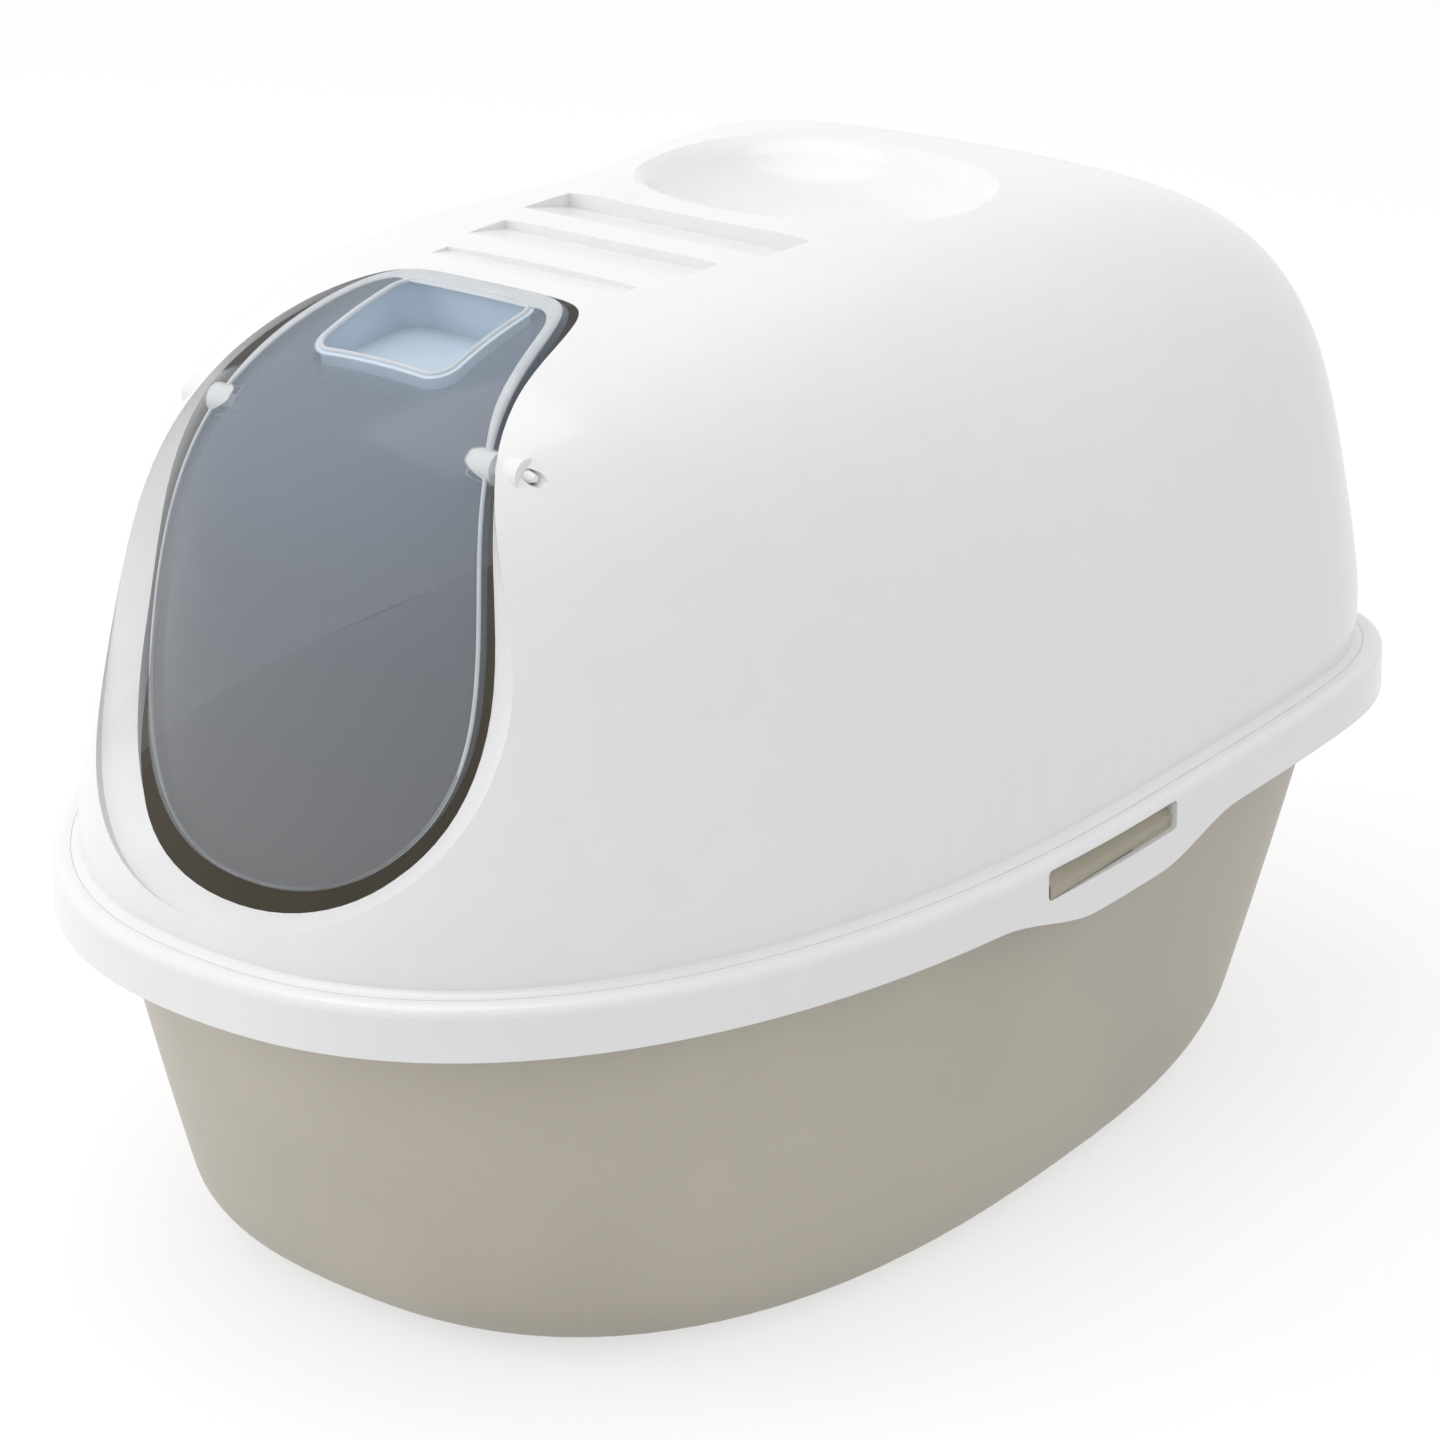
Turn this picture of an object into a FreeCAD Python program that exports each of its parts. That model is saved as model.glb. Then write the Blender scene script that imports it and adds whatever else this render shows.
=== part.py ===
import FreeCAD, Part
import math
import os

# Hooded litter box: a deep tub, a hood that drops over its rim, a see-through flap that swings
# on two pins, and a press-in latch tab on each long side.
# Millimetres; +Z is up, the doorway faces -Y, the box stands on the plane of zero height.

# The whole box
length = 570.0
width = 390.0
height = 378.0
wall = 2.5
reach_over = 20.0

# Outline of the rim seen from above: an egg ahead of the widest station, boxy behind it
widest_y = 45.0
front_power = 2.3
rear_power = 6.0
loop_points = 40

# Skirt and ledge round the foot of the hood
ledge_top = 172.0
skirt_low = 152.0
skirt_flare = 1.0
skirt_round = 4.0
hood_inset = 11.0

# Dip of the skirt that covers each latch
dip_y = 22.0
dip_depth = 10.0
dip_flat = 44.0
dip_run = 58.0

# Dome of the hood: how far each side leans in and how square its shoulder is
side_lean_share = 0.20
front_lean_share = 0.14
rear_lean_share = 0.02
side_shoulder_power = 3.9
front_shoulder_power = 6.0
rear_shoulder_power = 4.3
dome_rings = 8
top_turn_share = 0.985
ring_power = 0.42

# Doorway, laid out on a plane that leans from its foot to its head
door_foot_y = -262.0
door_foot_z = 190.0
door_head_y = -113.0
door_head_z = 376.0
door_half = 81.5
door_head_half = 56.0
door_widest_share = 0.36
door_foot_power = 2.15
door_head_power = 7.0
door_points = 40
lip_width = 12.0
lip_sink = 13.0
lip_fade_share = 0.55
lip_top_z = 349.0

# Flap: a thin shell like the hood's skin, a little inside it, that hangs inwards by its weight
flap_wall = 2.6
flap_gap = 5.0
flap_head_gap = 3.8
flap_head_shares = (0.72, 0.90)
flap_sink = 8.0
flap_drop = 4.0
flap_hang = 4.5
pocket_half = 31.0
pocket_front_y = -176.0
pocket_rear_y = -122.0
pocket_floor_z = 353.0
pocket_round = 9.0

# Pivot pins of the flap
pivot_y = -189.0
pivot_z = 340.0
pin_radius = 2.8
pin_inner_x = 56.0
pin_outer_x = 77.0
pin_tip = 5.0
pin_tip_share = 0.45
pin_clearance = 0.06
barrel_radius = 5.8
barrel_length = 10.0
barrel_gap = 4.0
seat_radius = 6.2
seat_length = 8.0

# Hand dish and the three steps moulded in the top
dish_y = 82.0
dish_half_x = 86.0
dish_half_y = 68.0
dish_depth = 20.0
dish_floor_share = 0.50
dish_turn_share = 0.62
step_rear_ys = (0.0, -47.0, -87.0)
step_halves = (58.0, 51.0, 45.0)
step_risers = (6.0, 3.6, 2.4)
step_runs = (30.0, 26.0, 22.0)

# Tub
tub_inset = 18.5
floor_half = 165.0
floor_front_y = -212.0
floor_rear_y = 262.0
floor_front_power = 2.5
floor_rear_power = 2.4
tub_bulge_power = 0.85
foot_turns = 4
wall_rings = 3
floor_round = 26.0
flange_gap = 1.0

# Latch tabs
latch_y = 12.0
window_half = 43.0
window_low = 156.5
window_high = 168.5
window_corner = 2.0
tab_gap = 0.7
tab_face_x = 192.0
tab_depth = 7.0
tab_bevel_high = 6.0
tab_bevel_deep = 4.0
bead_x = 186.0
bead_z = 147.0
bead_radius = 1.8
bead_half = 24.0
bead_clearance = 0.06
neck_wall = 2.0
rail_wall = 1.2
rail_cover = 0.7
notch_gap = 3.0

V = FreeCAD.Vector
ledge_under = ledge_top - wall
flange_under = ledge_under - wall
front_reach = length / 2 + widest_y
rear_reach = length / 2 - widest_y


def ease(share):
    """Smooth step from 0 to 1."""
    held = min(max(share, 0), 1)
    return held * held * (3 - 2 * held)


def smooth_loop(points):
    curve = Part.BSplineCurve()
    curve.interpolate(points, PeriodicFlag=True)
    return Part.Wire(curve.toShape())


def level_loop(radius_at, level):
    """Closed wire at one height, radius_at(angle) away from the widest station."""
    points = []
    for step in range(loop_points):
        angle = math.pi / 2 + 2 * math.pi * step / loop_points
        radius = radius_at(angle)
        points.append(V(radius * math.cos(angle), widest_y + radius * math.sin(angle), level))
    return smooth_loop(points)


def egg_radius(angle, half, front, rear, powers):
    """Superellipse with its own length and power ahead of and behind the widest station."""
    ahead = math.sin(angle) < 0
    reach = front if ahead else rear
    power = powers[0] if ahead else powers[1]
    across = abs(math.cos(angle)) / half
    along = abs(math.sin(angle)) / reach
    return (across ** power + along ** power) ** (-1 / power)


def rim_radius(angle, inset):
    powers = (front_power, rear_power)
    return egg_radius(angle, width / 2 - inset, front_reach - inset, rear_reach - inset, powers)


def rim_loop(inset, level):
    return level_loop(lambda angle: rim_radius(angle, inset), level)


def round_the_egg(angle, side, front, rear):
    """Value that turns from the front's through the side's to the rear's round the outline."""
    end = front if math.sin(angle) < 0 else rear
    return side * math.cos(angle) ** 2 + end * math.sin(angle) ** 2


def dome_radius(angle, rise, inset):
    """Radius of the hood's skin at a share of its height: leaning walls, rounded shoulders."""
    lean = round_the_egg(angle, side_lean_share, front_lean_share, rear_lean_share)
    power = round_the_egg(angle, side_shoulder_power, front_shoulder_power, rear_shoulder_power)
    return rim_radius(angle, inset) * (1 - lean * rise) * (1 - rise ** power) ** (1 / power)


def dome(inset, drop, below=0):
    """Solid under the hood's skin, drawn in by inset, lowered by drop, carried down by below."""
    climb = height - drop - ledge_top
    loops = [level_loop(lambda angle: rim_radius(angle, inset), ledge_top - below)] if below else []
    for ring in range(dome_rings + 1):
        rise = math.sin(math.pi / 2 * top_turn_share * ring / dome_rings) ** ring_power
        loops.append(level_loop(lambda angle: dome_radius(angle, rise, inset), ledge_top + rise * climb))
    return Part.makeLoft(loops, True)


def inside_dome(point):
    rise = (point.z - ledge_top) / (height - ledge_top)
    if rise >= 1:
        return False
    angle = math.atan2(point.y - widest_y, point.x)
    return math.hypot(point.x, point.y - widest_y) < dome_radius(angle, max(rise, 0), hood_inset)


def prism(wire, shift):
    return Part.Face(wire).extrude(shift)


def box_between(low, high):
    return Part.makeBox(high.x - low.x, high.y - low.y, high.z - low.z, low)


def rod(radius, start_x, end_x):
    """Cylinder along X on the flap's axis."""
    base = V(min(start_x, end_x), pivot_y, pivot_z)
    return Part.makeCylinder(radius, abs(end_x - start_x), base, V(1, 0, 0))


def mirrored(shape):
    return shape.mirror(V(0, 0, 0), V(1, 0, 0))


# Doorway

door_rise = math.hypot(door_head_y - door_foot_y, door_head_z - door_foot_z)
door_run_y = (door_head_y - door_foot_y) / door_rise
door_run_z = (door_head_z - door_foot_z) / door_rise
door_widest = door_widest_share * door_rise
door_out = V(0, -door_run_z, door_run_y)


def door_point(turn, grow):
    """Point of the doorway's outline on its leaning plane, grown outwards by grow."""
    below = math.sin(turn) < 0
    power = door_foot_power if below else door_head_power
    reach = (door_widest if below else door_rise - door_widest) + grow
    radius = (abs(math.cos(turn)) ** power + abs(math.sin(turn)) ** power) ** (-1 / power)
    along = door_widest + reach * radius * math.sin(turn)
    climb = ease((along - door_widest) / (door_rise - door_widest))
    half = door_half + grow - (door_half - door_head_half) * climb
    across = half * radius * math.cos(turn)
    return V(across, door_foot_y + along * door_run_y, door_foot_z + along * door_run_z)


def to_skin(point):
    """The same point moved along the doorway's normal on to the hood's skin."""
    near, far = -width / 2, width / 2
    for halving in range(40):
        middle = (near + far) / 2
        if inside_dome(point + door_out * middle):
            near = middle
        else:
            far = middle
    return point + door_out * near


def door_turns():
    return [math.pi / 2 + 2 * math.pi * step / door_points for step in range(door_points)]


def lip_share(turn):
    """The rolled lip is full round the foot and dies out towards the pivots."""
    return 1 - ease(math.sin(turn) / lip_fade_share)


def flap_gap_at(turn):
    """Gap between flap and doorway: the full one round the sides and foot, a narrow one on top."""
    start, full = flap_head_shares
    share = ease((math.sin(turn) - start) / (full - start))
    return flap_gap - (flap_gap - flap_head_gap) * share


def flap_plug():
    """Straight plug through the doorway with the flap's outline."""
    back = door_out * (-width / 2)
    outline = smooth_loop([door_point(turn, -flap_gap_at(turn)) + back for turn in door_turns()])
    return prism(outline, door_out * width)


def door_funnel(grow):
    """Plug whose mouth opens on the hood's skin and narrows to the doorway behind the lip."""
    mouth = []
    throat = []
    for turn in door_turns():
        share = lip_share(turn)
        mouth.append(to_skin(door_point(turn, grow + lip_width * share)))
        throat.append(to_skin(door_point(turn, grow)) - door_out * (lip_sink * share + wall))
    plane = door_out.dot(V(0, door_foot_y, door_foot_z))
    ends = []
    for points, out in ((mouth, width / 2), (throat, -width / 2)):
        flat = [point + door_out * (plane + out - door_out.dot(point)) for point in points]
        ends.append(smooth_loop(flat))
    return Part.makeLoft([ends[0], smooth_loop(mouth), smooth_loop(throat), ends[1]], True, True)


# Hood

def skirt_block(inset, top):
    """Slightly flared band from below the latch dips up to the ledge."""
    low = skirt_low - dip_depth - wall
    return Part.makeLoft([rim_loop(inset, low), rim_loop(inset + skirt_flare, top)], True, True)


def below_skirt():
    """Everything under the skirt's lower edge, with the two latch dips left standing."""
    def edge_z(y):
        away = abs(y - dip_y) - dip_flat / 2
        return skirt_low - dip_depth * (1 - ease(away / dip_run))

    half = dip_flat / 2 + dip_run
    knots = 24
    dip = [dip_y - half + 2 * half * knot / knots for knot in range(knots + 1)]
    curve = Part.BSplineCurve()
    curve.interpolate([V(-width, y, edge_z(y)) for y in dip])
    ends = (dip_y - half, dip_y + half)
    floor_z = skirt_low - dip_depth - reach_over * 2
    start = V(-width, -length, skirt_low)
    finish = V(-width, length, skirt_low)
    lines = [Part.makeLine(start, V(-width, ends[0], skirt_low)), curve.toShape(),
             Part.makeLine(V(-width, ends[1], skirt_low), finish),
             Part.makeLine(finish, V(-width, length, floor_z)),
             Part.makeLine(V(-width, length, floor_z), V(-width, -length, floor_z)),
             Part.makeLine(V(-width, -length, floor_z), start)]
    return prism(Part.Wire(lines), V(2 * width, 0, 0))


def dish(grow):
    """Bowl with a level floor and a round wall, turned and then drawn to an oval."""
    rim = dish_half_x + grow
    flat = dish_half_x * dish_floor_share
    deep = dish_depth + grow
    foot = V(0, 0, -deep)
    heel = V(flat, 0, -deep)
    edge = V(rim, 0, 0)
    turn = heel + (edge - heel) * dish_turn_share
    bend = (edge - heel).Length ** 2 / (2 * deep)
    half_turn = math.asin((rim - flat) / bend) / 2
    lean = V(math.sin(half_turn), 0, 1 - math.cos(half_turn)) * (bend * dish_turn_share)
    roll = V(math.sin(half_turn), 0, math.cos(half_turn) - 1) * (bend * (1 - dish_turn_share))
    lines = [Part.makeLine(foot, heel), Part.Arc(heel, heel + lean, turn).toShape(),
             Part.Arc(turn, edge - V(roll.x, 0, -roll.z), edge).toShape(),
             Part.makeLine(edge, edge + V(0, 0, reach_over)),
             Part.makeLine(edge + V(0, 0, reach_over), V(0, 0, reach_over)),
             Part.makeLine(V(0, 0, reach_over), foot)]
    bowl = Part.Face(Part.Wire(lines)).revolve(V(0, 0, 0), V(0, 0, 1), 360)
    oval = FreeCAD.Matrix()
    oval.scale(1, dish_half_y / dish_half_x, 1)
    oval.move(V(0, dish_y, height))
    return bowl.transformGeometry(oval)


def roof_step(rear_y, half, riser, run, grow):
    """Wedge of one roof step: an upright face at the rear and a floor that climbs forward."""
    foot = V(-half - grow, rear_y + grow, height - riser - grow)
    ramp = V(-half - grow, rear_y - run - grow, height - grow)
    over = V(0, 0, reach_over)
    corners = [foot, foot + over, ramp + over, ramp, foot]
    return prism(Part.makePolygon(corners), V(2 * (half + grow), 0, 0))


def roof_steps(grow):
    sizes = zip(step_rear_ys, step_halves, step_risers, step_runs)
    return [roof_step(rear_y, half, riser, run, grow) for rear_y, half, riser, run in sizes]


def window():
    """Slot in the skirt for the latch tab, its four corners eased."""
    low = V(tab_face_x - reach_over / 2, latch_y - window_half, window_low)
    high = V(tab_face_x + reach_over, latch_y + window_half, window_high)
    slot = box_between(low, high)
    along = [edge for edge in slot.Edges if abs(edge.tangentAt(edge.FirstParameter).x) > 0.5]
    return slot.makeFillet(window_corner, along)


def seat():
    """Round seat for a pivot pin, on the right-hand edge of the doorway."""
    start = pin_inner_x + barrel_length + barrel_gap
    return rod(seat_radius, start, start + seat_length)


def make_lip(skin):
    """Rolled lip behind the lower doorway, as deep as the doorway is recessed."""
    behind = dome(hood_inset + wall + lip_sink, wall + lip_sink)
    above = box_between(V(-width, -length, lip_top_z), V(width, length, height + reach_over))
    return door_funnel(wall).common(skin).cut([behind, above])


def make_hood():
    skin = dome(hood_inset, 0)
    skirt = skirt_block(0, ledge_top)
    top_edges = [edge for edge in skirt.Edges if edge.BoundBox.ZMin > ledge_under]
    skirt = skirt.makeFillet(skirt_round, top_edges)
    cabin = dome(hood_inset + wall, wall, reach_over)
    hood = skin.fuse(skirt).cut([cabin, skirt_block(wall, ledge_under)])
    backs = dish(wall).fuse(roof_steps(wall)).common(skin)
    hood = hood.fuse([make_lip(skin), backs, seat(), mirrored(seat())])
    hood = hood.cut([door_funnel(0), dish(0)] + roof_steps(0))
    bore = rod(pin_radius, pin_inner_x, pin_outer_x + pin_tip + reach_over)
    return hood.cut([below_skirt(), window(), mirrored(window()), bore, mirrored(bore)])


# Pivot pins

def make_pin():
    """Right-hand pin: a plain shank with a tapered outer tip."""
    root = V(pin_outer_x, pivot_y, pivot_z)
    tip = Part.makeCone(pin_radius, pin_radius * pin_tip_share, pin_tip, root, V(1, 0, 0))
    return rod(pin_radius, pin_inner_x, pin_outer_x).fuse(tip).removeSplitter()


# Flap

def pocket(grow):
    """Finger pocket sunk in the flap's top, its upright corners rounded."""
    low = V(-pocket_half - grow, pocket_front_y - grow, pocket_floor_z - grow)
    high = V(pocket_half + grow, pocket_rear_y + grow, height + reach_over)
    block = box_between(low, high)
    upright = [edge for edge in block.Edges if abs(edge.tangentAt(edge.FirstParameter).z) > 0.5]
    return block.makeFillet(pocket_round + grow, upright)


def make_flap():
    inset = hood_inset + flap_sink
    skin = dome(inset, flap_drop)
    panel = flap_plug().common(skin).cut(dome(inset + flap_wall, flap_drop + flap_wall))
    barrel = rod(barrel_radius, pin_inner_x, pin_inner_x + barrel_length)
    bore_end = pin_inner_x + barrel_length + barrel_gap
    bore = rod(pin_radius + pin_clearance, pin_inner_x - barrel_gap, bore_end)
    panel = panel.fuse(pocket(flap_wall).common(skin)).cut(pocket(0))
    panel.rotate(V(0, pivot_y, pivot_z), V(1, 0, 0), flap_hang)
    return panel.fuse([barrel, mirrored(barrel)]).cut([bore, mirrored(bore)])


# Tub

def tub_radius(angle, level, inset):
    """Wall of the tub: a rounder floor outline that swells to the rim's, its foot rolled under."""
    powers = (floor_front_power, floor_rear_power)
    floor = egg_radius(angle, floor_half, widest_y - floor_front_y, floor_rear_y - widest_y, powers)
    share = (level / ledge_under) ** tub_bulge_power
    short = max(floor_round - level, 0)
    bend = floor_round - inset
    tuck = bend - math.sqrt(max(bend ** 2 - short ** 2, 0))
    return floor + (rim_radius(angle, tub_inset) - floor) * share - inset - tuck


def tub_blocks(inset, top):
    """Rolled foot and wall of the tub as two solids, or of its hollow when drawn in by the wall."""
    bend = floor_round - inset
    turns = [math.pi / 2 * turn / foot_turns for turn in range(foot_turns + 1)]
    foot = [floor_round - bend * math.cos(turn) for turn in turns]
    side = [floor_round + (top - floor_round) * ring / wall_rings for ring in range(wall_rings + 1)]
    blocks = []
    for levels in (foot, side):
        loops = [level_loop(lambda angle: tub_radius(angle, level, inset), level) for level in levels]
        blocks.append(Part.makeLoft(loops, True))
    return blocks


def latch_span(half, low_x, high_x, low_z, high_z):
    """Block beside the tub, half long each way from the latch's middle."""
    return box_between(V(low_x, latch_y - half, low_z), V(high_x, latch_y + half, high_z))


def latch_rod(radius, half):
    return Part.makeCylinder(radius, 2 * half, V(bead_x, latch_y - half, bead_z), V(0, 1, 0))


def latch_rail():
    """Rib on the tub's side that carries the tab's bead."""
    grip = bead_radius + bead_clearance + rail_wall
    low_x = width / 2 - tub_inset - reach_over
    return latch_span(bead_half, low_x, bead_x + grip, bead_z - grip, bead_z + rail_cover)


def latch_notch():
    """Room for the tab in the flange."""
    low_x = width / 2 - tub_inset + wall
    return latch_span(window_half + notch_gap, low_x, width, flange_under - reach_over / 2, ledge_top)


def make_pan():
    flange = prism(rim_loop(wall + skirt_flare + flange_gap, flange_under), V(0, 0, wall))
    foot, side = tub_blocks(0, ledge_under)
    pan = side.fuse([foot, flange, latch_rail(), mirrored(latch_rail())])
    groove = latch_rod(bead_radius + bead_clearance, bead_half + reach_over)
    hollow = tub_blocks(wall, ledge_under + reach_over)
    return pan.cut(hollow + [latch_notch(), mirrored(latch_notch()), groove, mirrored(groove)])


# Latch tabs

def make_tab():
    """Right-hand tab: a bevelled head in the skirt's window on a thin neck with a round bead."""
    low = window_low + tab_gap
    high = window_high - tab_gap
    start = latch_y - window_half + tab_gap
    back = tab_face_x - tab_depth
    sides = [(back, low), (tab_face_x, low), (tab_face_x, high - tab_bevel_high),
             (tab_face_x - tab_bevel_deep, high), (back, high), (back, low)]
    outline = Part.makePolygon([V(x, start, z) for x, z in sides])
    head = prism(outline, V(0, 2 * (window_half - tab_gap), 0))
    half = bead_half - tab_gap
    neck = latch_span(half, bead_x - neck_wall / 2, bead_x + neck_wall / 2, bead_z, low + wall)
    return head.fuse([neck, latch_rod(bead_radius, half)]).removeSplitter()


pieces = {
    "pan": make_pan(),
    "hood": make_hood(),
    "flap": make_flap(),
    "pivot_pin_right": make_pin(),
    "pivot_pin_left": mirrored(make_pin()),
    "latch_tab_right": make_tab(),
    "latch_tab_left": mirrored(make_tab()),
}
os.makedirs("parts", exist_ok=True)
for name, piece in pieces.items():
    piece.exportStep("parts/" + name + ".step")
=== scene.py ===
import math

import bpy
import numpy as np
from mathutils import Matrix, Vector


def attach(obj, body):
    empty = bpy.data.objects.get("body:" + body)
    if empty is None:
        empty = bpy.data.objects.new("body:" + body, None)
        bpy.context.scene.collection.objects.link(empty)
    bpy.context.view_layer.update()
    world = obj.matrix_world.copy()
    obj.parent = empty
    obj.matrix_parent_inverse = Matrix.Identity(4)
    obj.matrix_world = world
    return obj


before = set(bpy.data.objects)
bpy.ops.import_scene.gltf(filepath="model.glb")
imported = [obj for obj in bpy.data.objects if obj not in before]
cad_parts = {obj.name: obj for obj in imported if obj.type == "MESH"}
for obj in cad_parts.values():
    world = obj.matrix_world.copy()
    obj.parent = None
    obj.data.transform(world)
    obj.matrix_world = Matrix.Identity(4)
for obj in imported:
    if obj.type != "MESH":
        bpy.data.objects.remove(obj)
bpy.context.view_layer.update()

# Tub
# The deep lower half: one satin polypropylene moulding in warm grey, with a rolled foot
# and a rim flange that the hood rests on. It stands on the floor on its own flat bottom.


class Shade:
    """One socket of a material; sums and products of it become Math nodes."""

    def __init__(self, tree, socket=None):
        self.tree, self.socket = tree, socket

    def node(self, kind, settings=(), sockets=(), out=0):
        """Adds a node, sets it up, then fills its inputs with values or links."""
        made = self.tree.nodes.new("ShaderNode" + kind)
        for name, value in dict(settings).items():
            setattr(made, name, value)
        for name, value in dict(sockets).items():
            if isinstance(value, Shade):
                self.tree.links.new(value.socket, made.inputs[name])
            else:
                made.inputs[name].default_value = value
        return Shade(self.tree, made.outputs[out] if made.outputs else None)

    def math(self, operation, first, second=0.0):
        return self.node("Math", {"operation": operation}, {0: first, 1: second})

    def vector(self, operation, *others, out=0):
        """Vector Math on this place and others; out=1 takes the number that LENGTH gives."""
        sockets = dict(enumerate((self, *others)))
        return self.node("VectorMath", {"operation": operation}, sockets, out)

    def __add__(self, other):
        return self.math("ADD", self, other)

    def __rsub__(self, other):
        return self.math("SUBTRACT", other, self)

    def __mul__(self, other):
        return self.math("MULTIPLY", self, other)

    def __abs__(self):
        return self.math("ABSOLUTE", self)

    __radd__ = __add__

    def between(self, low, high):
        """0 below low, 1 above high, smooth in between."""
        sockets = {"Value": self, "From Min": low, "From Max": high}
        return self.node("MapRange", {"interpolation_type": "SMOOTHSTEP"}, sockets)

    def noise(self, per_metre, detail):
        """Even noise over a place, so many cells to the metre."""
        return self.node("TexNoise", {}, {"Vector": self, "Scale": per_metre, "Detail": detail})

    def tint(self, first, second):
        """Colour that goes from first to second as this value goes from 0 to 1."""
        return self.node("Mix", {"data_type": "RGBA"}, {0: self, 6: first, 7: second}, out=2)

    def axis(self, letter):
        """One coordinate of a place."""
        return self.node("SeparateXYZ", {}, {0: self}, out="XYZ".index(letter))

    def bump(self, depth):
        """Normal of a surface raised by depth metres where this value is 1."""
        return self.node("Bump", {}, {"Height": self, "Distance": depth, "Strength": 1.0})


def fresh_tree(owner):
    """Emptied node tree of a material or of the world."""
    owner.use_nodes = True
    owner.node_tree.nodes.clear()
    return Shade(owner.node_tree)


def new_plastic(name):
    """Empty material and the object's own coordinates in it."""
    material = bpy.data.materials.new(name)
    return material, fresh_tree(material).node("TexCoord", out=3)


def mould(material, place, **sockets):
    """Principled shader with these sockets, joined to the material's output."""
    spaced = {name.replace("_", " "): value for name, value in sockets.items()}
    skin = place.node("BsdfPrincipled", {}, spaced)
    place.node("OutputMaterial", {}, {0: skin})
    return material


def dress(name, material):
    """Puts a finish on a piece that comes from the construction model."""
    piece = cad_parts[name]
    piece.data.materials.clear()
    piece.data.materials.append(material)


def satin_grey(name, light, dark):
    """Warm grey polypropylene: fine spark-eroded grain, faint flow clouds, rubbed foot."""
    rubbed_grey = (0.56, 0.53, 0.47, 1)
    material, place = new_plastic(name)
    grain = place.noise(per_metre=2600.0, detail=2.0)
    clouds = place.noise(per_metre=9.0, detail=2.0)
    at_foot = 1 - place.axis("Z").between(0.002, 0.012)
    rubbed = at_foot * place.noise(per_metre=140.0, detail=4.0).between(0.45, 0.7)
    colour = clouds.between(0.3, 0.7).tint(dark, light)
    return mould(material, place,
                 Base_Color=(rubbed * 0.5).tint(colour, rubbed_grey),
                 Roughness=grain * 0.12 + clouds * 0.06 + rubbed * 0.12 + 0.34,
                 Normal=grain.bump(depth=0.00006))


tub_light, tub_dark = (0.525, 0.485, 0.412, 1), (0.478, 0.441, 0.374, 1)
dress("pan", satin_grey("tub_plastic", tub_light, tub_dark))

# Latch tabs
# One press-in tab on each long side, in the tub's grey, hinged on a bead in the tub's rail.
# The bevelled head shows through the window in the hood's skirt.

tab_light, tab_dark = (0.405, 0.372, 0.282, 1), (0.378, 0.346, 0.262, 1)
tab_grey = satin_grey("tab_plastic", tab_light, tab_dark)
for tab in ("latch_tab_right", "latch_tab_left"):
    dress(tab, tab_grey)

# Hood
# The domed upper half: one polished white polypropylene moulding that drops over the tub's
# rim, with a hand dish and three steps in its top, a ledge and a skirt round its foot.

white, shaded_white = (0.840, 0.840, 0.842, 1), (0.828, 0.828, 0.832, 1)
hood_white, hood_place = new_plastic("hood_plastic")
ripple = hood_place.noise(per_metre=26.0, detail=1.0)
pores = hood_place.noise(per_metre=1800.0, detail=2.0)
haze = hood_place.noise(per_metre=60.0, detail=4.0)
mould(hood_white, hood_place,
      Base_Color=haze.between(0.3, 0.7).tint(shaded_white, white),
      Roughness=haze * 0.03 + pores * 0.03 + 0.2,
      Normal=(ripple * 0.5 + pores * 0.02).bump(depth=0.0002),
      Coat_Weight=0.15, Coat_Roughness=0.12)
dress("hood", hood_white)

# Cove of the hood
# The same white moulding: a small hollow round that runs the dome's wall into the ledge.
# Sizes in metres, as in the construction model: the dome stands on the ledge's top.

dome_centre_y, dome_foot_z, dome_top_z, dome_inset = 0.045, 0.172, 0.378, 0.011
rim_half_width, rim_front, rim_rear = 0.195, 0.330, 0.240
front_power, rear_power = 2.3, 6.0
side_lean, front_lean, rear_lean = 0.20, 0.14, 0.02
side_shoulder, front_shoulder, rear_shoulder = 3.9, 6.0, 4.3


def skin_radius(angle, rise, inset):
    """Dome of the hood: an egg-shaped rim that leans in and turns over a rounded shoulder s:
    rim(angle) * (1 - lean * rise) * (1 - rise ** s) ** (1 / s)."""
    ahead = np.sin(angle) < 0
    power = np.where(ahead, front_power, rear_power)
    across = np.abs(np.cos(angle)) / (rim_half_width - inset)
    along = np.abs(np.sin(angle)) / (np.where(ahead, rim_front, rim_rear) - inset)
    rim = (across ** power + along ** power) ** (-1 / power)
    side, end = np.cos(angle) ** 2, np.sin(angle) ** 2
    lean = side_lean * side + np.where(ahead, front_lean, rear_lean) * end
    shoulder = side_shoulder * side + np.where(ahead, front_shoulder, rear_shoulder) * end
    return rim * (1 - lean * rise) * (1 - rise ** shoulder) ** (1 / shoulder)


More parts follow.
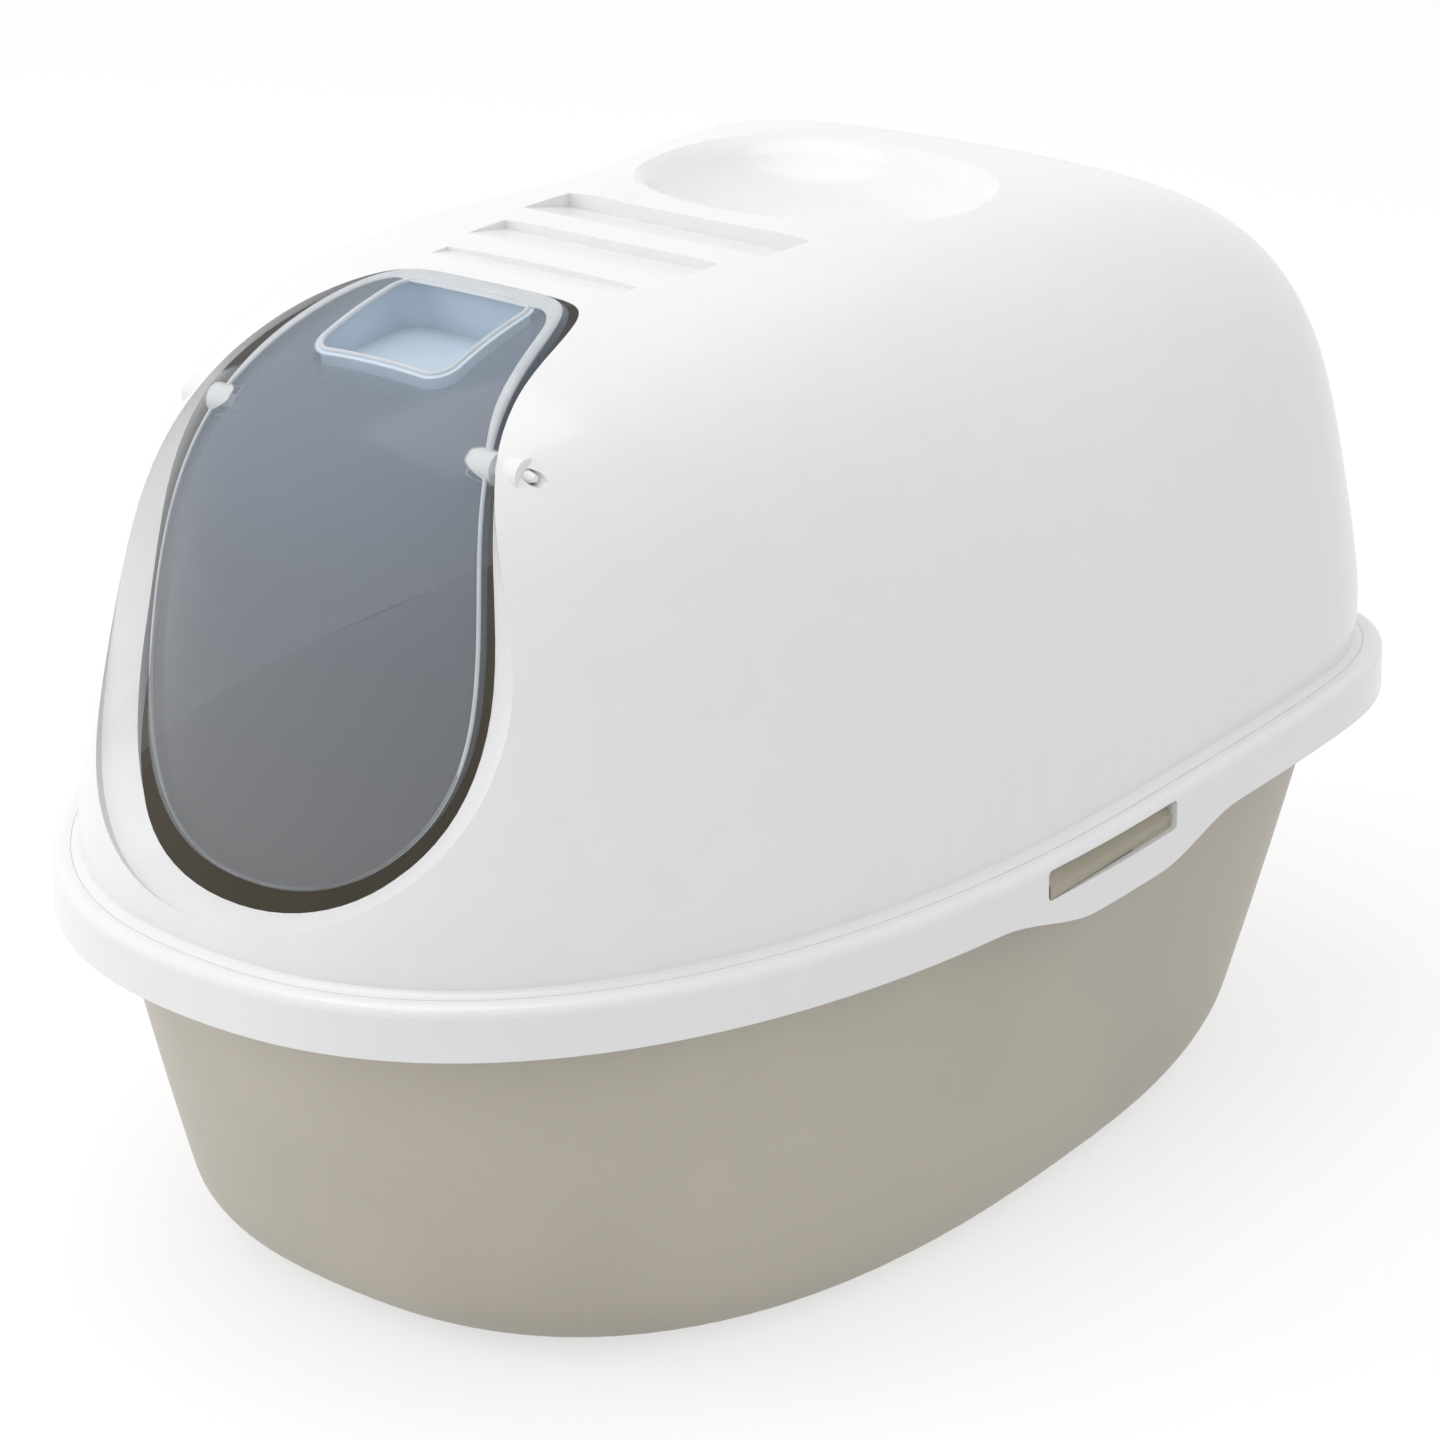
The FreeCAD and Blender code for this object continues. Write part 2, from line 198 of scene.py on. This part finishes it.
def closed_grid(name, grid):
    """Mesh of a grid of points that closes on itself both ways, like a ring's skin,
    with its faces turned outwards."""
    rows, columns = grid.shape[:2]
    row, column = np.meshgrid(np.arange(rows), np.arange(columns), indexing="ij")
    this_row, next_row = row * columns, (row + 1) % rows * columns
    next_column = (column + 1) % columns
    quads = np.stack([this_row + column, next_row + column,
                      next_row + next_column, this_row + next_column], -1).reshape(-1, 4)
    points = grid.reshape(-1, 3)
    outwards = points[quads].mean(1) - np.repeat(grid.mean(1), columns, 0)
    first = points[quads[:, 1]] - points[quads[:, 0]]
    second = points[quads[:, 2]] - points[quads[:, 0]]
    if np.sum(np.cross(first, second) * outwards) < 0:
        quads = quads[:, ::-1]
    mesh = bpy.data.meshes.new(name)
    mesh.from_pydata(points.tolist(), [], quads.tolist())
    mesh.polygons.foreach_set("use_smooth", np.ones(len(quads), bool))
    piece = bpy.data.objects.new(name, mesh)
    bpy.context.scene.collection.objects.link(piece)
    return piece


cove_round, cove_back = 0.0040, 0.0012
cove_points, cove_sections = 10, 240
bow = np.linspace(0, np.pi / 2, cove_points)
cove_out = np.concatenate([cove_round * (1 - np.sin(bow)), [-cove_back, -cove_back]])
cove_lift = np.concatenate([cove_round * (1 - np.cos(bow)), [cove_round, -cove_back / 2]])
cove_angle = np.linspace(0, 2 * np.pi, cove_sections, endpoint=False)[:, None]
cove_rise = np.clip(cove_lift / (dome_top_z - dome_foot_z), 0, 1)[None, :]
reach = skin_radius(cove_angle, cove_rise, dome_inset) + cove_out[None, :]
ring = np.stack([reach * np.cos(cove_angle), dome_centre_y + reach * np.sin(cove_angle),
                 np.broadcast_to(dome_foot_z + cove_lift, reach.shape)], -1)
hood_cove = closed_grid("hood_cove", ring)
hood_cove.data.materials.append(hood_white)
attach(hood_cove, "hood")

# Pivot pins
# Two clear moulded pins, pushed through the seats at the doorway's edge into the flap's
# barrels.

clear_ior = 1.49
pin_clear, pin_place = new_plastic("pin_plastic")
pin_milk = pin_place.noise(per_metre=240.0, detail=2.0)
mould(pin_clear, pin_place,
      Base_Color=pin_milk.tint((0.88, 0.89, 0.90, 1), (0.93, 0.94, 0.95, 1)),
      Roughness=pin_milk * 0.1 + 0.1, Alpha=pin_milk * 0.06 + 0.92,
      Normal=pin_milk.bump(depth=0.0002), IOR=clear_ior)
for pin in ("pivot_pin_right", "pivot_pin_left"):
    dress(pin, pin_clear)

# Flap
# One see-through smoky moulding that follows the doorway, with a finger pocket in its top; a
# painted sheen lightens its upper part and a painted highlight fills the pocket.
# It hangs from the two pins by a short barrel at each upper corner, its foot turned inwards;
# unhang turns places on it back to where it would close the doorway.

pivot, hang = np.array([0, -0.189, 0.340]), math.radians(4.5)
unhang = np.array([[1, 0, 0],
                   [0, math.cos(hang), math.sin(hang)],
                   [0, -math.sin(hang), math.cos(hang)]])
pocket_y, pocket_half = -0.149, np.array([0.022, 0.018])
smoke_low, painted_sheen_blue = (0.248, 0.259, 0.277, 1), (0.270, 0.318, 0.392, 1)
pocket_highlight_blue, barrel_white = (0.72, 0.84, 0.95, 1), (0.76, 0.78, 0.80, 1)

flap_clear, hung_place = new_plastic("flap_plastic")
flap_place = hung_place.node("Mapping", {}, {
    "Vector": hung_place, "Location": tuple(pivot - unhang @ pivot),
    "Rotation": (-hang, 0.0, 0.0)})
cloud = flap_place.noise(per_metre=14.0, detail=2.0)
specks = flap_place.noise(per_metre=700.0, detail=2.0)
from_pocket = flap_place.vector("MULTIPLY_ADD", (1, 1, 0), (0, -pocket_y, 0))
past_sides = from_pocket.vector("ABSOLUTE").vector("SUBTRACT", (*pocket_half, 0.0))
past_pocket = past_sides.vector("MAXIMUM", (0, 0, 0)).vector("LENGTH", out=1)
# Painted highlight: the finger pocket is painted pale blue and made more opaque.
in_pocket_highlight = 1 - past_pocket.between(0.0100, 0.0112)
from_axis = flap_place.vector("MULTIPLY_ADD", (0, 1, 1), tuple(-pivot)).vector("LENGTH", out=1)
at_corners = abs(flap_place.axis("X")).between(0.0545, 0.0560)
in_barrel = (1 - from_axis.between(0.0058, 0.0066)) * at_corners
# Painted sheen: the smoky tint turns lighter and bluer towards the top of the flap.
smoke_and_painted_sheen = flap_place.axis("Z").between(0.20, 0.37).tint(smoke_low, painted_sheen_blue)
tinted = (in_pocket_highlight * 0.95).tint(smoke_and_painted_sheen, pocket_highlight_blue)
mould(flap_clear, flap_place,
      Base_Color=in_barrel.tint(tinted, barrel_white),
      Roughness=cloud * 0.05 + specks * 0.03 + 0.12,
      Alpha=cloud * 0.05 + in_barrel * 0.35 + in_pocket_highlight * 0.3 + 0.45,
      Normal=(cloud * 0.4 + specks * 0.03).bump(depth=0.0003), IOR=clear_ior)
dress("flap", flap_clear)

# Flap rim
# The same moulding thickens to a pale rolled edge: broad along the top, narrower down to the
# barrels and a thin bead round the foot. A second thin bead runs round the finger pocket; its
# pale colour is partly the moulding's thick edge and partly a painted highlight.

flap_sink, flap_top_z = 0.008, dome_top_z - 0.004
bead_points = 14


def ease(share):
    """Smooth step from 0 to 1."""
    held = np.clip(share, 0, 1)
    return held * held * (3 - 2 * held)


def above_flap(points):
    """How far points lie outside the flap's outer face: their radius less the dome's."""
    x, y, z = np.moveaxis(points, -1, 0)
    back = y - dome_centre_y
    rise = np.clip((z - dome_foot_z) / (flap_top_z - dome_foot_z), 0, 0.99999)
    face = skin_radius(np.arctan2(back, x), rise, dome_inset + flap_sink)
    return np.hypot(x, back) - face + np.maximum(z - flap_top_z, 0)


def on_flap(points, way):
    """Points moved along one way on to the flap's outer face, by halving."""
    farthest, halvings = 0.15, 30
    near, far = np.full(len(points), -farthest), np.full(len(points), farthest)
    for _ in range(halvings):
        middle = (near + far) / 2
        outside = above_flap(points + middle[:, None] * way) > 0
        near, far = np.where(outside, near, middle), np.where(outside, middle, far)
    return points + near[:, None] * way


def face_normals(points):
    """Outward direction of the flap's face, from small differences of its height."""
    small = 0.0005
    slope = np.stack([above_flap(points + small * way) - above_flap(points - small * way)
                      for way in np.eye(3)], -1)
    return slope / np.linalg.norm(slope, axis=1, keepdims=True)


def rolled_edge(name, path, half_width, half_height):
    """Oval bead carried round a closed path, then hung with the flap about its pins:
    path + inwards * half_width * (1 + cos u) + up * half_height * sin u."""
    up = face_normals(path)
    onward = np.roll(path, -1, 0) - np.roll(path, 1, 0)
    inwards = np.cross(up, onward)
    inwards /= np.linalg.norm(inwards, axis=1, keepdims=True)
    inwards *= np.sign(np.sum(inwards * (path.mean(0) - path), 1))[:, None]
    u = np.linspace(0, 2 * np.pi, bead_points, endpoint=False)[None, :, None]
    grid = (path[:, None] + inwards[:, None] * half_width[:, None, None] * (1 + np.cos(u))
            + up[:, None] * (half_height[:, None, None] * np.sin(u)))
    piece = closed_grid(name, pivot + (grid - pivot) @ unhang)
    piece.data.materials.append(rim_clear)
    return piece


rim_clear, rim_place = new_plastic("flap_rim_plastic")
rim_milk = rim_place.noise(per_metre=90.0, detail=3.0)
mould(rim_clear, rim_place,
      Base_Color=rim_milk.tint((0.62, 0.66, 0.70, 1), (0.76, 0.79, 0.82, 1)),
      Roughness=rim_milk * 0.1 + 0.16, Alpha=rim_milk * 0.12 + 0.72,
      Normal=rim_milk.bump(depth=0.0002), IOR=clear_ior)

door_foot, door_head = np.array([0, -0.262, 0.190]), np.array([0, -0.113, 0.376])
door_half, door_head_half, widest_share = 0.0815, 0.0560, 0.36
foot_power, head_power = 2.15, 7.0
side_gap, head_gap = 0.0050, 0.0038
rim_sections = 260
door_rise = np.linalg.norm(door_head - door_foot)
door_up = (door_head - door_foot) / door_rise
door_out = np.array([0, -door_up[2], door_up[1]])
turn = np.linspace(0, 2 * np.pi, rim_sections, endpoint=False) + np.pi / 2
sine, cosine = np.sin(turn), np.cos(turn)
gap = side_gap - (side_gap - head_gap) * ease((sine - 0.72) / 0.18)
bulge = np.where(sine < 0, foot_power, head_power)
radius = (np.abs(cosine) ** bulge + np.abs(sine) ** bulge) ** (-1 / bulge)
widest = widest_share * door_rise
climb = widest + (np.where(sine < 0, widest, door_rise - widest) - gap) * radius * sine
narrowed = (door_half - door_head_half) * ease((climb - widest) / (door_rise - widest))
outline = door_foot + climb[:, None] * door_up
outline[:, 0] = (door_half - gap - narrowed) * radius * cosine
on_top, above_barrels = ease((sine - 0.70) / 0.2), ease((sine - 0.42) / 0.16)
flap_rim = rolled_edge("flap_rim", on_flap(outline, door_out),
                       half_width=0.0008 + 0.0014 * above_barrels + 0.0038 * on_top,
                       half_height=0.0008 + 0.0005 * above_barrels - 0.0008 * on_top)

lip_corner, lip_half_width, lip_half_height = 0.009, 0.0009, 0.0010
below_flap, upwards = 0.33, np.array([0.0, 0.0, 1.0])
run = np.linspace(0, 1, 30, endpoint=False)
quarters = np.array([[1, 1], [-1, 1], [-1, -1], [1, -1]])
centres = np.array([0, pocket_y]) + pocket_half * quarters
runs = []
for quarter, centre in enumerate(centres):
    sweep, end = np.pi / 2 * (quarter + run), np.pi / 2 * (quarter + 1)
    bend = centre + lip_corner * np.stack([np.cos(sweep), np.sin(sweep)], -1)
    aside = lip_corner * np.array([np.cos(end), np.sin(end)])
    side = centres[(quarter + 1) % len(centres)] - centre
    runs += [bend, centre + aside + run[:, None] * side]
pocket_plan = np.concatenate(runs)
lip_count = len(pocket_plan)
lip = on_flap(np.column_stack([pocket_plan, np.full(lip_count, below_flap)]), upwards)
# Pale bead round the pocket: partly a real raised edge, partly a painted highlight line.
pocket_lip_and_highlight = rolled_edge("flap_pocket_lip", lip,
                         half_width=np.full(lip_count, lip_half_width),
                         half_height=np.full(lip_count, lip_half_height))
for piece in (flap_rim, pocket_lip_and_highlight):
    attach(piece, "flap")

# Studio
# Plain pale floor, soft lamps and the camera; none of it belongs to the box. The weak lamp
# under the dome stands for the daylight that a thin white hood lets through.

floor_reach = 12.0
floor_corners = floor_reach * np.array([[-1, -1, 0], [1, -1, 0], [1, 1, 0], [-1, 1, 0]])
sheet = bpy.data.meshes.new("studio_floor")
sheet.from_pydata(floor_corners.tolist(), [], [(0, 1, 2, 3)])
floor = bpy.data.objects.new("studio_floor", sheet)
bpy.context.scene.collection.objects.link(floor)


def looked_at(shade):
    """1 for what the camera, a mirror or a clear piece looks at, 0 for what only gives light."""
    camera_ray, glossy_ray, transmission_ray = 0, 3, 6
    rays = (camera_ray, glossy_ray, transmission_ray)
    return sum(shade.node("LightPath", out=ray) for ray in rays).between(0.0, 1.0)


floor_paint = bpy.data.materials.new("studio_floor")
floor_shade = fresh_tree(floor_paint)
glow = floor_shade.node("Emission", {}, {"Color": (1, 1, 1, 1), "Strength": 0.64})
faint = floor_shade.node("BsdfDiffuse", {}, {"Color": (0.40, 0.40, 0.40, 1)})
pale = floor_shade.node("BsdfDiffuse", {}, {"Color": (0.80, 0.80, 0.80, 1)})
shown = floor_shade.node("AddShader", {}, {0: glow, 1: faint})
both = floor_shade.node("MixShader", {}, {0: looked_at(floor_shade), 1: pale, 2: shown})
floor_shade.node("OutputMaterial", {}, {0: both})
sheet.materials.append(floor_paint)

world = bpy.data.worlds.new("studio")
sky = fresh_tree(world)
sky_strength = looked_at(sky) * 0.22 + 0.78
air = sky.node("Background", {}, {"Color": (1, 1, 1, 1), "Strength": sky_strength})
sky.node("OutputWorld", {}, {0: air})
bpy.context.scene.world = world


def lamp(name, at, aim, size, watts, mirrored):
    """Square soft lamp, itself unseen, aimed from one place at another;
    mirrored says whether gloss shows it."""
    light = bpy.data.lights.new(name, "AREA")
    light.size, light.energy = size, watts
    made = bpy.data.objects.new(name, light)
    made.location, made.visible_glossy, made.visible_camera = at, mirrored, False
    made.rotation_euler = (Vector(aim) - Vector(at)).to_track_quat("-Z", "Y").to_euler()
    bpy.context.scene.collection.objects.link(made)


lamp("soft_top", at=(-0.2, -0.5, 2.2), aim=(0.0, 0.0, 0.2),
     size=1.5, watts=11.5, mirrored=True)
lamp("soft_front", at=(-2.0, -1.7, 1.3), aim=(0.0, -0.1, 0.2),
     size=1.4, watts=16.0, mirrored=False)
lamp("through_hood", at=(0.0, 0.03, 0.335), aim=(0.0, -0.06, 0.0),
     size=0.12, watts=0.10, mirrored=False)

azimuth, elevation = math.radians(37.72), math.radians(21.2)
camera_aim, camera_away = Vector((0.0, 0.0, 0.205)), 1.5
towards_camera = Vector((math.sin(azimuth) * math.cos(elevation),
                         -math.cos(azimuth) * math.cos(elevation), math.sin(elevation)))
optics = bpy.data.cameras.new("camera")
optics.lens, optics.sensor_width = 94.43, 36.0
optics.shift_x, optics.shift_y = 0.0226, -0.0562
camera = bpy.data.objects.new("camera", optics)
camera.location = camera_aim + towards_camera * camera_away
camera.rotation_euler = (-towards_camera).to_track_quat("-Z", "Y").to_euler()
bpy.context.scene.collection.objects.link(camera)
bpy.context.scene.camera = camera
bpy.context.scene.view_settings.view_transform = "Standard"
